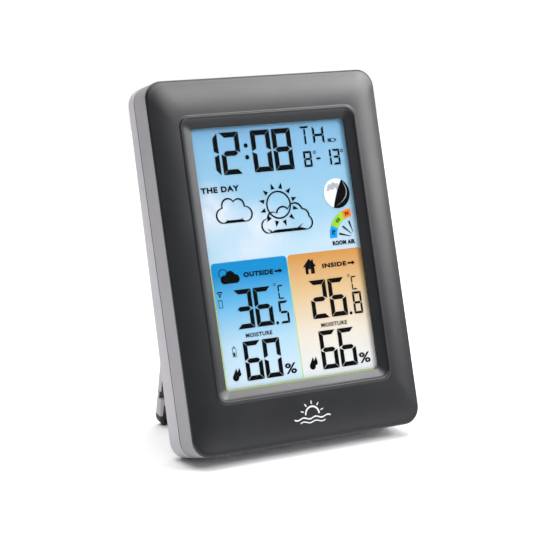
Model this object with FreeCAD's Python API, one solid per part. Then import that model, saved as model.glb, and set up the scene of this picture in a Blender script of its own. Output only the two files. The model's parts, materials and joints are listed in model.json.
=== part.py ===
"""Home weather station: a small desk unit with a colour display, standing on a folding rear stand.

Every piece is built upright in the face frame: X to the viewer's right, Y from front to back with
Y = 0 at the rear edge of the bezel, Z up the face from the bezel's bottom edge.  Pieces on the back
are built in the back frame: the same X, with n measured outwards from the sloping back surface and
s up along it.  At the end the whole unit is leaned back on its open stand and set on Z = 0.
"""
import FreeCAD, Part
import math
import os

V = FreeCAD.Vector
X_AXIS = V(1, 0, 0)
Y_AXIS = V(0, 1, 0)
Z_AXIS = V(0, 0, 1)

# ---- driving dimensions, in millimetres and degrees ----
face_width = 94.0
face_height = 132.0
face_corner = 6.5
lean = 15.9                 # how far the face leans back
case_inset = 0.1            # the case outline lies just inside the bezel outline
wall = 1.8                  # outer walls of both cases
liner = 1.6                 # walls of the pockets sunk into the rear case
parting = 9.4               # depth of the joint line between the two cases
back_taper = 3.9            # how much thinner the case is at the top than at the bottom
back_round = 3.6            # round of the back edge
fit = 0.05                  # clearance between pieces that are fixed together
running = 0.06              # radial clearance of the stand's trunnions
gap = 0.4                   # clearance round pieces that move past a wall

# bezel and display window
bezel_edge = 1.0            # height of the bezel's side before it domes
lip_height = 2.7            # height of the window lip
lip_corner = 3.8
side_margin = 11.4          # face left of the window and right of it
top_margin = 13.85
bottom_margin = 18.15
side_slope = 4.2            # width of the recess walls between the lip and the viewing area
top_slope = 3.85
bottom_slope = 3.55
view_corner = 1.3
view_depth = 1.2            # height of the recess's inner edge
lens_thick = 0.8
lens_margin = 1.6
peg_radius = 1.2
peg_heights = (40.0, 94.0)

# display stack, each sheet behind the one before it
glass_side = 2.1            # glass beyond the viewing area at each side
glass_margin = 2.2          # glass below and above the viewing area
contact_ledge = 2.5         # the front glass reaches this far above the rear glass
stack = [("front_polariser", 0.20), ("lcd_front_glass", 0.55), ("lcd_rear_glass", 0.55),
         ("rear_polariser", 0.20), ("colour_film", 0.15), ("light_guide", 1.6), ("reflector_sheet", 0.2)]
frame_wall = 1.2
frame_back = 0.6
plate_thick = 1.2           # front wall of the front case

# battery compartment
cell_radius = 5.25
cell_length = 44.5
cell_spacing = 0.2
cell_count = 3
spring_length = 4.8
contact_thick = 0.4
cell_play = 0.1
bay_front = 6.3
bay_wall = 1.2
bay_bottom = 18.2
door_thick = 1.2
door_ledge = 1.4

# stand
stand_width = 62.8
leg_width = 7.0
hinge_below_buttons = 12.0  # along the back surface
hinge_depth = 2.5           # below the back surface
knuckle_radius = 2.4
trunnion_radius = 1.5
trunnion_length = 1.8
foot_end = 0.8              # folded foot's end, above the bottom edge
foot_trim = 0.45            # worn flat on the foot where it meets the table
stand_plate = 1.4
rim = 1.2
rim_depth = 2.7
foot_rim_depth = 3.5
notch = 3.0                 # break between the deep rim of the cross bar and the rims of the legs
foot_height = 4.7
crossbar_top = 11.0
stand_corner = 4.2
window_corner = 1.0
tail_length = 4.0
tail_thick = 1.4

# boards and controls
board_front = 6.4
board_thick = 1.6
board_below_top = 8.0       # top edge of the board below the top of the face
board_above_bay = 2.4
board_side_gap = 8.6        # board edge to the inside of the case
ear_step = 4.0
ear_drop = 12.0
switch_size = 6.0
switch_height = 3.4
button_below_board_top = 17.0
button_pitch = 13.0
button_width = 7.0
button_depth = 4.0
button_proud = 0.9
button_travel = 0.5
button_play = 0.15
flange = 0.8
light_width = 30.0
light_depth = 6.0
light_centre = 4.5
light_proud = 0.4
light_travel = 0.4
button_names = ["set_button", "up_button", "down_button", "channel_button", "unit_button"]

# fasteners and openings in the back
screw_radius = 1.1
screw_head = 2.1
screw_inset_x = 5.9
screw_inset_z = 8.9
boss_radius = 2.6
post_radius = 3.3
board_post = 2.2
keyhole_radius = 4.0
keyhole_slot = 4.0
keyhole_above_buttons = 7.0
keyhole_reach = 7.0
vent_length = 8.0
vent_width = 1.4
vent_pitch = 3.0
vent_count = 5
vent_bottom = 31.0
foot_pad_proud = 0.25
foot_pad_length = 7.0
foot_pad_depth = 4.4

buzzer_radius = 4.5
buzzer_inset = 6.5          # from the board's side and top edges

# ---- sizes that follow ----
case_width = face_width - 2.0 * case_inset
case_height = face_height - 2.0 * case_inset
case_corner = face_corner - case_inset
middle_z = face_height / 2.0
lip_width = face_width - 2.0 * side_margin
lip_length = face_height - top_margin - bottom_margin
view_width = lip_width - 2.0 * side_slope
view_length = lip_length - top_slope - bottom_slope
view_bottom = bottom_margin + bottom_slope
view_middle = view_bottom + view_length / 2.0
glass_width = view_width + 2.0 * glass_side
glass_bottom = view_bottom - glass_margin
glass_top = view_bottom + view_length + glass_margin
frame_half = glass_width / 2.0 + 2.0 * fit + frame_wall

cell_pitch = 2.0 * cell_radius + cell_spacing
cell_axis = bay_front + cell_play + cell_radius
bay_half = cell_count * cell_pitch / 2.0 + cell_spacing
bay_top = bay_bottom + 2.0 * contact_thick + spring_length + cell_length + cell_play
back_low = cell_axis + cell_radius + 0.13 + door_thick + back_taper * (bay_top - contact_thick) / face_height
slope = math.degrees(math.atan(back_taper / face_height))

board_rear = board_front + board_thick
board_bottom = bay_top + bay_wall + board_above_bay
board_top = face_height - board_below_top
board_width = case_width - 2.0 * (wall + board_side_gap)
ear_bottom = board_bottom + ear_step
ear_top = board_top - ear_drop
board_screw_x = frame_half + board_post + 2.5
ear_width = 2.0 * board_screw_x + 5.0
board_screw_z = (ear_bottom + 4.0, ear_top - 4.0)
buzzer_x = board_width / 2.0 - buzzer_inset
buzzer_z = board_top - buzzer_inset
button_height = board_top - button_below_board_top
keyhole_height = button_height + keyhole_above_buttons
hinge_height = button_height - hinge_below_buttons
stand_length = hinge_height - foot_end
vent_x = (stand_width / 2.0 + gap + liner + case_width / 2.0 - wall) / 2.0


def back_depth(z):
    return back_low - back_taper * z / face_height


def leaned_height(y, z):
    """Height of a point of the face frame once the unit leans back."""
    return z * math.cos(math.radians(lean)) - y * math.sin(math.radians(lean))


def table_height():
    """Surface the unit stands on: below the round of the back's bottom edge by the pads' height."""
    z = case_inset + back_round
    across = back_round / math.cos(math.radians(slope))
    return leaned_height(back_depth(z) - across, z) - back_round - foot_pad_proud


def open_angle():
    """Angle at which the end of the stand reaches the table."""
    tilt = math.radians(slope)
    y = back_low - hinge_depth * math.cos(tilt) - hinge_height * math.sin(tilt)
    z = hinge_height * math.cos(tilt) - hinge_depth * math.sin(tilt)
    drop = leaned_height(y, z) - table_height() + foot_trim
    return lean - slope + math.degrees(math.acos(drop / stand_length))


stand_open = open_angle()


# ---- building blocks ----
def box(x0, x1, y0, y1, z0, z1):
    return Part.makeBox(x1 - x0, y1 - y0, z1 - z0, V(x0, y0, z0))


def rod(radius, start, end):
    axis = end - start
    return Part.makeCylinder(radius, axis.Length, start, axis)


def rounded(width, height, radius, y0, y1, x=0.0, z=0.0):
    """Rounded rectangle centred on (x, z), extruded from y0 to y1."""
    return Part.Face(rounded_wire(width, height, radius, y0, x, z)).extrude(V(0, y1 - y0, 0))


def rounded_wire(width, height, radius, y, x=0.0, z=0.0):
    left, right = x - width / 2.0, x + width / 2.0
    low, high = z - height / 2.0, z + height / 2.0
    k = radius * (1.0 - math.sqrt(0.5))
    p = [V(left + radius, y, low), V(right - radius, y, low), V(right, y, low + radius),
         V(right, y, high - radius), V(right - radius, y, high), V(left + radius, y, high),
         V(left, y, high - radius), V(left, y, low + radius)]
    mids = [V(right - k, y, low + k), V(right - k, y, high - k), V(left + k, y, high - k),
            V(left + k, y, low + k)]
    edges = []
    for i in range(4):
        edges.append(Part.LineSegment(p[2 * i], p[2 * i + 1]).toShape())
        edges.append(Part.Arc(p[2 * i + 1], mids[i], p[(2 * i + 2) % 8]).toShape())
    return Part.Wire(edges)


def fuse(shapes):
    return shapes[0].multiFuse(shapes[1:]).removeSplitter() if len(shapes) > 1 else shapes[0]


def moved(shape, x=0.0, y=0.0, z=0.0):
    copy = shape.copy()
    copy.translate(V(x, y, z))
    return copy


def turned(shape, centre, angle):
    copy = shape.copy()
    copy.rotate(centre, X_AXIS, angle)
    return copy


def on_back(shape):
    """Take a shape from the back frame (x, n, s) to the face frame."""
    return moved(turned(shape, V(0, 0, 0), slope), y=back_low)


# ---- cases ----
def rear_form(inset, start, edge_round):
    """The rear case's outer form, or its cavity, inside the case outline by inset."""
    prism = rounded(case_width - 2.0 * inset, case_height - 2.0 * inset, case_corner - inset,
                    start, back_low + 5.0, 0.0, middle_z)
    beyond = on_back(box(-face_width, face_width, -inset, 30.0, -face_height, 2.0 * face_height))
    form = prism.cut(beyond)
    rim_edges = []
    for edge in form.Edges:
        middle = edge.valueAt((edge.FirstParameter + edge.LastParameter) / 2.0)
        plane_gap = (back_low - middle.y) * math.cos(math.radians(slope))
        plane_gap -= middle.z * math.sin(math.radians(slope))
        ends = [v.Point.y for v in edge.Vertexes]
        if abs(plane_gap - inset) < 0.01 and min(ends) > start + 0.5:
            rim_edges.append(edge)
    return form.makeFillet(edge_round, rim_edges)


def stand_recess(grow):
    """Pocket for the folded stand: two legs and a cross bar, open at the bottom edge."""
    half = stand_width / 2.0 + gap + grow
    inner = stand_width / 2.0 - leg_width - gap - grow
    top = hinge_height + math.hypot(tail_length, hinge_depth) + gap + grow
    floor = -(hinge_depth + knuckle_radius + gap + grow)
    legs = [box(inner, half, floor, 5.0, -5.0, top), box(-half, -inner, floor, 5.0, -5.0, top)]
    bar = box(-half, half, floor, 5.0, -5.0, crossbar_top + gap + grow)
    return on_back(fuse(legs + [bar]))


def stand_stop():
    """Wedges in the pocket that the stand's tails land on when it is open."""
    axis = V(0, -hinge_depth, hinge_height)
    face = -tail_thick - 0.3 - fit
    wedges = []
    for side in (-1, 1):
        x0 = side * (stand_width / 2.0 - leg_width / 2.0) - leg_width / 2.0
        block = box(x0 - gap, x0 + leg_width + gap, face - 8.0, face,
                    hinge_height + knuckle_radius + gap, hinge_height + 8.0)
        wedges.append(turned(block, axis, stand_open))
    return on_back(fuse(wedges)).common(stand_recess(0.0))


def door_outline(extra, n0, n1):
    half = bay_half + door_ledge + extra
    low, high = bay_bottom - door_ledge + 1.0 - extra, bay_top + door_ledge - 1.0 + extra
    panel = rounded(2.0 * half, high - low, 1.5, n0, n1, 0.0, (low + high) / 2.0)
    return panel.fuse(box(-4.0 - extra, 4.0 + extra, n0, n1, high - 1.0, high + 1.6)).removeSplitter()


def screw_places():
    x = case_width / 2.0 - screw_inset_x
    return [(sx * x, z) for sx in (-1, 1) for z in (screw_inset_z, face_height - screw_inset_z)]


def button_places():
    first = -(len(button_names) - 1) / 2.0 * button_pitch
    return [(name, first + i * button_pitch) for i, name in enumerate(button_names)]


def make_rear_case():
    outer = rear_form(0.0, parting, back_round)
    cavity = rear_form(wall, parting - 1.0, back_round - wall)
    bay = box(-bay_half, bay_half, bay_front, 40.0, bay_bottom, bay_top)
    bay_block = box(-bay_half - bay_wall - 0.4, bay_half + bay_wall + 0.4, bay_front - 1.0, 40.0,
                    bay_bottom - bay_wall, bay_top + bay_wall)
    envelope = fuse([outer, rounded(case_width - 2.0 * wall, case_height - 2.0 * wall,
                                    case_corner - wall, 1.0, parting + 0.5, 0.0, middle_z)])
    tongue_ring = rounded(case_width - wall - 2.0 * fit, case_height - wall - 2.0 * fit,
                          case_corner - wall / 2.0, parting - 1.6, parting + 0.5, 0.0, middle_z)
    tongue_ring = tongue_ring.cut(rounded(case_width - 2.0 * wall, case_height - 2.0 * wall,
                                          case_corner - wall, parting - 3.0, parting + 2.0, 0.0, middle_z))
    pockets = fuse([bay_block, stand_recess(liner)]).common(envelope)
    posts = []
    holes = []
    for x, z in screw_places():
        posts.append(rod(post_radius, V(x, parting, z), V(x, 40, z)).common(outer))
        holes.append(rod(screw_radius + 0.15, V(x, 0, z), V(x, 40, z)))
        holes.append(rod(screw_head + 0.3, V(x, parting + 1.5, z), V(x, 40, z)))
    case = fuse([outer.cut(cavity), tongue_ring, pockets] + posts)
    holes += [bay, stand_recess(0.0), on_back(door_outline(0.2, -door_thick - fit, 5.0))]
    holes.append(hinge_bores())
    for name, x in button_places():
        holes.append(on_back(button_prism(x, button_play, -wall - 1.0, 3.0)))
    holes.append(on_back(keyhole()))
    for i in range(vent_count):
        z = vent_bottom + i * vent_pitch
        holes.append(on_back(rounded(vent_length, vent_width, vent_width / 2.0 - 0.01,
                                     -wall - 1.0, 3.0, vent_x, z)))
    for x, z in buzzer_holes():
        holes.append(on_back(rod(0.6, V(x, -wall - 1.0, z), V(x, 3.0, z))))
    return case.cut(fuse(holes)).fuse(stand_stop()).removeSplitter()


def hinge_bores():
    reach = stand_width / 2.0 + gap + liner + 1.0
    axis_y, axis_z = -hinge_depth, hinge_height
    return on_back(rod(trunnion_radius + running, V(-reach, axis_y, axis_z), V(reach, axis_y, axis_z)))


def keyhole():
    head = rod(keyhole_radius, V(0, -wall - 1.0, keyhole_height), V(0, 3.0, keyhole_height))
    slot = rounded(keyhole_slot, 2.0 * keyhole_reach, keyhole_slot / 2.0 - 0.01, -wall - 1.0, 3.0,
                   0.0, keyhole_height)
    slot = slot.common(box(-10, 10, -20, 20, keyhole_height, keyhole_height + 30))
    return head.fuse(slot)


def buzzer_holes():
    ring = [(buzzer_x + 2.4 * math.cos(a), buzzer_z + 2.4 * math.sin(a))
            for a in [math.radians(60.0 * i) for i in range(6)]]
    return ring + [(buzzer_x, buzzer_z)]


def make_front_case():
    outer = rounded(case_width, case_height, case_corner, 0.0, parting, 0.0, middle_z)
    inner = rounded(case_width - 2.0 * wall, case_height - 2.0 * wall, case_corner - wall,
                    plate_thick, parting + 1.0, 0.0, middle_z)
    rebate = rounded(case_width - wall, case_height - wall, case_corner - wall / 2.0,
                     parting - 1.7, parting + 1.0, 0.0, middle_z)
    opening = frame_outline(0.2, -1.0, plate_thick + 1.0)
    case = outer.cut(fuse([inner, rebate, opening]))
    posts = []
    holes = []
    for x, z in screw_places():
        posts.append(rod(boss_radius, V(x, 0.5, z), V(x, parting - fit, z)))
        holes.append(rod(screw_radius - 0.2, V(x, parting - 7.0, z), V(x, parting + 1.0, z)))
    for sx in (-1, 1):
        for z in board_screw_z:
            x = sx * board_screw_x
            posts.append(rod(board_post, V(x, 0.5, z), V(x, board_front, z)))
            holes.append(rod(0.7, V(x, 2.0, z), V(x, board_front + 1.0, z)))
    for x, z in peg_places():
        holes.append(rod(peg_radius + fit, V(x, -1.0, z), V(x, plate_thick + 1.0, z)))
    holes.append(light_prism(button_play, face_height - 10.0, face_height + 5.0))
    return fuse([case] + posts).cut(fuse(holes))


def peg_places():
    x = (case_width / 2.0 + frame_half) / 2.0 + 1.5
    return [(sx * x, z) for sx in (-1, 1) for z in peg_heights]


def make_front_bezel():
    """Domed frame: sections blend from the face outline to the window lip."""
    lip_middle = bottom_margin + lip_length / 2.0
    wires = [rounded_wire(face_width, face_height, face_corner, 0.0, 0.0, middle_z)]
    steps = [0.0, 0.03, 0.12, 0.3, 0.6, 1.0]
    for t in steps:
        height = bezel_edge + (lip_height - bezel_edge) * math.sin(t ** 0.6 * math.pi / 2.0)
        wires.append(rounded_wire(face_width + (lip_width - face_width) * t,
                                  face_height + (lip_length - face_height) * t,
                                  face_corner + (lip_corner - face_corner) * t,
                                  -height, 0.0, middle_z + (lip_middle - middle_z) * t))
    dome = Part.makeLoft(wires, True, True)
    recess = Part.makeLoft([rounded_wire(lip_width, lip_length, lip_corner, -lip_height - 0.001,
                                         0.0, lip_middle),
                            rounded_wire(view_width, view_length, view_corner, -view_depth,
                                         0.0, view_middle)], True, True)
    through = rounded(view_width, view_length, view_corner, -view_depth - 0.2, 1.0, 0.0, view_middle)
    pocket = lens_outline(fit, -lens_thick, 1.0)
    bezel = dome.cut(fuse([recess, through])).cut(pocket)
    pegs = [rod(peg_radius, V(x, -0.5, z), V(x, plate_thick + 0.3, z)) for x, z in peg_places()]
    return fuse([bezel] + pegs)


def lens_outline(extra, y0, y1):
    return rounded(view_width + 2.0 * (lens_margin + extra), view_length + 2.0 * (lens_margin + extra),
                   view_corner + lens_margin, y0, y1, 0.0, view_middle)


# ---- display ----
def frame_outline(extra, y0, y1):
    half = frame_half + extra
    low = glass_bottom - frame_wall - fit * 2.0 - extra
    high = glass_top + contact_ledge + frame_wall + fit * 2.0 + extra
    return box(-half, half, y0, y1, low, high)


def stack_depths():
    """Front face of each sheet, from the window lens backwards."""
    depths = {}
    y = fit
    for name, thick in stack:
        depths[name] = (y, y + thick)
        y += thick
    return depths, y


def sheet_box(name, y0, y1):
    half = glass_width / 2.0
    if name == "lcd_front_glass":
        return box(-half, half, y0, y1, glass_bottom, glass_top + contact_ledge)
    if name == "lcd_rear_glass":
        return box(-half, half, y0, y1, glass_bottom, glass_top)
    if name == "light_guide":
        return box(-half + 1.0, half - 1.0, y0, y1, glass_bottom + 2.8, glass_top)
    return box(-half + 1.0, half - 1.0, y0, y1, glass_bottom + 0.8, glass_top - 0.8)


def add_display(nodes):
    depths, rear = stack_depths()
    for name, thick in stack:
        y0, y1 = depths[name]
        nodes[name] = sheet_box(name, y0, y1)
    guide0, guide1 = depths["light_guide"]
    strip = glass_width / 2.0 - 2.5
    leds = [box(-strip, strip, guide0, guide1, glass_bottom, glass_bottom + 0.6)]
    for i in range(5):
        x = (i - 2) * strip * 0.42
        leds.append(box(x - 1.7, x + 1.7, guide0, guide1 - 0.6, glass_bottom + 0.6, glass_bottom + 2.7))
    nodes["led_strip"] = fuse(leds)
    body = frame_outline(0.0, 0.3, rear + frame_back)
    space = frame_outline(-frame_wall, 0.0, rear)
    half = glass_width / 2.0
    zebra_x, zebra_z0 = half - 2.5, glass_top + 0.3
    zebra_z1 = glass_top + contact_ledge - 0.2
    slot = box(-zebra_x - 0.2, zebra_x + 0.2, rear - 1.0, rear + 3.0, zebra_z0 - fit, zebra_z1 + fit)
    flanges = [box(x - 1.35, x + 1.35, plate_thick, plate_thick + 1.0, 30.0, 70.0)
               for x in (-frame_half - 0.85, frame_half + 0.85)]
    nodes["lcd_frame"] = fuse([body] + flanges).cut(fuse([space, slot]))
    glass_rear = depths["lcd_front_glass"][1]
    nodes["zebra_connector"] = box(-zebra_x, zebra_x, glass_rear, board_front, zebra_z0, zebra_z1)


# ---- boards ----
def add_boards(nodes):
    board = fuse([box(-board_width / 2.0, board_width / 2.0, board_front, board_rear,
                      board_bottom, board_top),
                  box(-ear_width / 2.0, ear_width / 2.0, board_front, board_rear, ear_bottom, ear_top)])
    screws = []
    for sx in (-1, 1):
        for z in board_screw_z:
            x = sx * board_screw_x
            board = board.cut(rod(1.0, V(x, 0, z), V(x, 20, z)))
            screws.append(fuse([rod(0.7, V(x, 2.2, z), V(x, board_rear + 0.1, z)),
                                rod(1.8, V(x, board_rear, z), V(x, board_rear + 1.2, z))]))
    nodes["main_board"] = board
    nodes["board_screws"] = Part.makeCompound(screws)
    cap_z = board_bottom + 23.0
    dome = Part.makeSphere(16.0, V(0, board_rear - 14.4, cap_z))
    nodes["processor_cap"] = dome.common(box(-20, 20, board_rear, board_rear + 5.0, cap_z - 20, cap_z + 20))
    can = rod(1.0, V(12, board_rear + 1.0, cap_z - 2.0), V(12, board_rear + 1.0, cap_z + 4.0))
    nodes["clock_crystal"] = can.fuse(box(11.4, 12.6, board_rear, board_rear + 1.0, cap_z - 1.5, cap_z + 3.5))
    nodes["tact_switches"] = Part.makeCompound([tact_switch(x) for name, x in button_places()])
    top = box(-3.0, 3.0, board_rear, board_rear + 3.0, board_top - 4.5, board_top)
    plunger = rod(1.0, V(0, board_rear + 1.1, board_top - 0.5), V(0, board_rear + 1.1, board_top + 1.0))
    nodes["light_switch"] = fuse([top, plunger])
    low = board_bottom + 7.2
    nodes["receiver_board"] = box(-18.0, 4.0, board_rear, board_rear + 0.7, low, low + 8.5)
    nodes["receiver_can"] = box(-15.0, -5.0, board_rear + 0.7, board_rear + 1.9, low + 0.6, low + 8.0)
    nodes["antenna_coil"] = antenna()
    nodes["piezo_buzzer"] = rod(buzzer_radius, V(buzzer_x, board_rear, buzzer_z),
                                V(buzzer_x, board_rear + 4.4, buzzer_z))
    y = back_depth(vent_bottom + vent_pitch * 2.0) - wall - 3.2
    z = vent_bottom + vent_pitch * 2.0
    nodes["sensor_board"] = box(vent_x - 4.0, vent_x + 4.0, y, y + 1.0, z - 9.0, z + 9.0)
    nodes["climate_sensor"] = box(vent_x - 1.5, vent_x + 1.5, y + 1.0, y + 2.0, z - 1.5, z + 1.5)


def tact_switch(x):
    z = button_height - 0.2
    half = switch_size / 2.0
    body = box(x - half, x + half, board_rear, board_rear + switch_height - 0.6, z - half, z + half)
    return body.fuse(rod(1.4, V(x, board_rear + 1.0, z), V(x, board_rear + switch_height, z)))


def antenna():
    """Spring antenna: its turns stand as collars along a core."""
    y, z = board_rear + 2.6, board_bottom + 4.0
    core = rod(1.8, V(-6.0, y, z), V(6.0, y, z))
    turns = [rod(2.3, V(-5.3 + 1.25 * i, y, z), V(-4.7 + 1.25 * i, y, z)) for i in range(9)]
    lead = box(-6.0, -5.4, board_rear, y, z - 0.3, z + 0.3)
    return fuse([core, lead] + turns)


# ---- batteries ----
def add_batteries(nodes):
    y = cell_axis
    plates = []
    springs = []
    for i in range(cell_count):
        x = (i - (cell_count - 1) / 2.0) * cell_pitch
        up = i % 2 == 0
        low = bay_bottom + contact_thick + (spring_length if up else 0.0)
        body_low = low if up else low + 1.2
        can = rod(cell_radius, V(x, y, body_low), V(x, y, body_low + cell_length - 1.2))
        tip_low = low + cell_length - 1.5 if up else low
        tip = rod(2.6, V(x, y, tip_low), V(x, y, tip_low + 1.5))
        nodes["battery_%d" % (i + 1)] = can.fuse(tip).removeSplitter()
        for z in (bay_bottom, bay_top - contact_thick):
            plates.append(box(x - 4.6, x + 4.6, bay_front, y + cell_radius - 0.9, z, z + contact_thick))
        if up:
            spring = Part.makeCone(3.8, 2.4, spring_length, V(x, y, bay_bottom + contact_thick), Z_AXIS)
        else:
            spring = Part.makeCone(3.8, 2.4, spring_length, V(x, y, bay_top - contact_thick),
                                   V(0, 0, -1))
        springs.append(spring)
    nodes["contact_plates"] = Part.makeCompound(plates)
    nodes["contact_springs"] = Part.makeCompound(springs)


def make_battery_door():
    door = door_outline(0.0, -door_thick, 0.0)
    grips = [box(-6.0, 6.0, -0.4, 1.0, bay_top - 5.0 - 2.0 * i, bay_top - 4.2 - 2.0 * i)
             for i in range(4)]
    return on_back(door.cut(fuse(grips)))


# ---- buttons ----
def button_prism(x, extra, n0, n1):
    return rounded(button_width + 2.0 * extra, button_depth + 2.0 * extra,
                   button_depth / 2.0 + extra - 0.01, n0, n1, x, button_height)


def make_button(x):
    cap = button_prism(x, 0.0, -wall - gap, button_proud)
    rear = -wall - gap - flange
    shoulder = button_prism(x, 0.8, rear, -wall - gap)
    stem_end = board_rear + switch_height - back_depth(button_height) + button_travel + 0.1
    stem = rod(1.4, V(x, rear + 0.1, button_height), V(x, stem_end, button_height))
    return on_back(fuse([cap, shoulder, stem]))


def light_prism(extra, z0, z1):
    """Long rounded prism standing on the top wall."""
    half = light_width / 2.0 - light_depth / 2.0
    radius = light_depth / 2.0 + extra
    ends = [rod(radius, V(sx * half, light_centre, z0), V(sx * half, light_centre, z1)) for sx in (-1, 1)]
    return fuse(ends + [box(-half, half, light_centre - radius, light_centre + radius, z0, z1)])


def make_light_button():
    top = face_height - case_inset
    under = top - wall
    cap = light_prism(0.0, under - 0.1 - light_travel, top + light_proud)
    plate = box(-light_width / 2.0 - 1.0, light_width / 2.0 + 1.0, light_centre - 2.6, parting - 0.5,
                under - 1.2 - light_travel, under - light_travel)
    leg = box(-1.5, 1.5, parting - 1.7, parting - 0.5, board_top + 1.0 + light_travel + 0.2, under - 1.0)
    return fuse([cap, plate, leg])


# ---- stand ----
def make_stand():
    half = stand_width / 2.0
    inner = half - leg_width
    low = foot_end + foot_height
    axis = V(0, -hinge_depth, hinge_height)
    window = rounded(2.0 * inner, 200.0, window_corner, -10.0, 10.0, 0.0, crossbar_top + 100.0)
    plate = box(-half, half, -stand_plate, 0.0, low, hinge_height).cut(window)
    deep = box(-half, half, -foot_rim_depth, -stand_plate, low, crossbar_top + rim)
    tray = box(-half + rim, half - rim, -10.0, 0.0, low - 1.0, crossbar_top - rim)
    deep = deep.cut(fuse([tray, window]))
    rims = []
    knuckles = []
    for side in (-1, 1):
        for x in (side * (half - rim / 2.0), side * (inner + rim / 2.0)):
            rims.append(box(x - rim / 2.0, x + rim / 2.0, -rim_depth, -stand_plate,
                            crossbar_top + rim + notch, hinge_height))
        x0, x1 = sorted((side * inner, side * half))
        knuckles.append(rod(knuckle_radius, V(x0, axis.y, axis.z), V(x1, axis.y, axis.z)))
        knuckles.append(box(x0 + 1.0, x1 - 1.0, -tail_thick - 0.3, -0.3, hinge_height,
                            hinge_height + tail_length))
        tip = side * (half + trunnion_length)
        knuckles.append(rod(trunnion_radius, V(side * (half - 1.0), axis.y, axis.z), V(tip, axis.y, axis.z)))
    folded = fuse([plate, deep] + rims + knuckles)
    end = stand_end(0.0, -knuckle_radius - hinge_depth - 1.0, 1.0)
    return opened(folded.common(end))


def opened(shape):
    return on_back(turned(shape, V(0, -hinge_depth, hinge_height), stand_open))


def stand_end(inset, n0, n1):
    """Outline of the whole stand with its round lower corners, inside it by inset."""
    height = 2.0 * hinge_height
    wide = stand_width + 2.0 * (trunnion_length + 1.0)
    upper = box(-wide / 2.0, wide / 2.0, n0, n1, foot_end + stand_corner + 1.0, height)
    lower = rounded(stand_width - 2.0 * inset, height, stand_corner - inset, n0, n1,
                    0.0, foot_end + inset + height / 2.0)
    return lower if inset > 0.0 else lower.fuse(upper)


def make_stand_foot():
    """Dark end of the stand: a shallow tray with round corners that carries on the stand's rim."""
    half = stand_width / 2.0
    band = box(-half - 1, half + 1, -10, 10, foot_end - 1, foot_end + foot_height)
    shell = stand_end(0.0, -foot_rim_depth, 0.0).cut(stand_end(rim, -10.0, -stand_plate))
    return opened(shell.common(band))


# ---- screws and feet ----
def make_case_screws():
    screws = []
    for x, z in screw_places():
        shank = rod(screw_radius - 0.2, V(x, parting - 6.5, z), V(x, parting + 1.6, z))
        head = rod(screw_head, V(x, parting + 1.5, z), V(x, parting + 3.0, z))
        slot = box(x - 0.3, x + 0.3, parting + 2.4, parting + 4.0, z - 1.4, z + 1.4)
        cross = box(x - 1.4, x + 1.4, parting + 2.4, parting + 4.0, z - 0.3, z + 0.3)
        screws.append(shank.fuse(head).cut(slot.fuse(cross)))
    return Part.makeCompound(screws)


def build_upright():
    nodes = {}
    nodes["front_bezel"] = make_front_bezel()
    nodes["window_lens"] = lens_outline(0.0, -lens_thick, 0.0)
    nodes["front_case"] = make_front_case()
    nodes["rear_case"] = make_rear_case()
    add_display(nodes)
    add_boards(nodes)
    add_batteries(nodes)
    nodes["battery_door"] = make_battery_door()
    for name, x in button_places():
        nodes[name] = make_button(x)
    nodes["light_button"] = make_light_button()
    nodes["case_screws"] = make_case_screws()
    nodes["stand"] = make_stand()
    nodes["stand_foot"] = make_stand_foot()
    return nodes


def stand_up(nodes):
    """Lean the unit back, add the rubber feet, trim what meets the table and set the origin."""
    leaned = {}
    for name, shape in nodes.items():
        leaned[name] = turned(shape, V(0, 0, 0), -lean)
    outer = turned(rear_form(0.0, parting, back_round), V(0, 0, 0), -lean)
    table = table_height()
    contact_y = back_low * math.cos(math.radians(lean)) - back_round
    x1 = case_width / 2.0 - case_corner
    for side, name in ((-1, "left_foot_pad"), (1, "right_foot_pad")):
        x_low, x_high = sorted((side * (x1 - foot_pad_length), side * x1))
        block = box(x_low, x_high, contact_y, contact_y + foot_pad_depth, table, table + 2.4)
        leaned[name] = block.cut(outer)
    below = box(-200, 200, -200, 200, table - 20.0, table)
    leaned["stand_foot"] = leaned["stand_foot"].cut(below)
    whole = Part.makeCompound(list(leaned.values())).optimalBoundingBox()
    shift_y = -(whole.YMin + whole.YMax) / 2.0
    return {name: moved(shape, y=shift_y, z=-table) for name, shape in leaned.items()}, shift_y, -table


upright_nodes = build_upright()
placed_nodes, origin_shift_y, origin_shift_z = stand_up(upright_nodes)
os.makedirs("parts", exist_ok=True)
for node_name, node_shape in placed_nodes.items():
    node_shape.exportStep("parts/%s.step" % node_name)
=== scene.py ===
import json
import math

import bmesh
import bpy
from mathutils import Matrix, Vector
from mathutils.bvhtree import BVHTree


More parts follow.
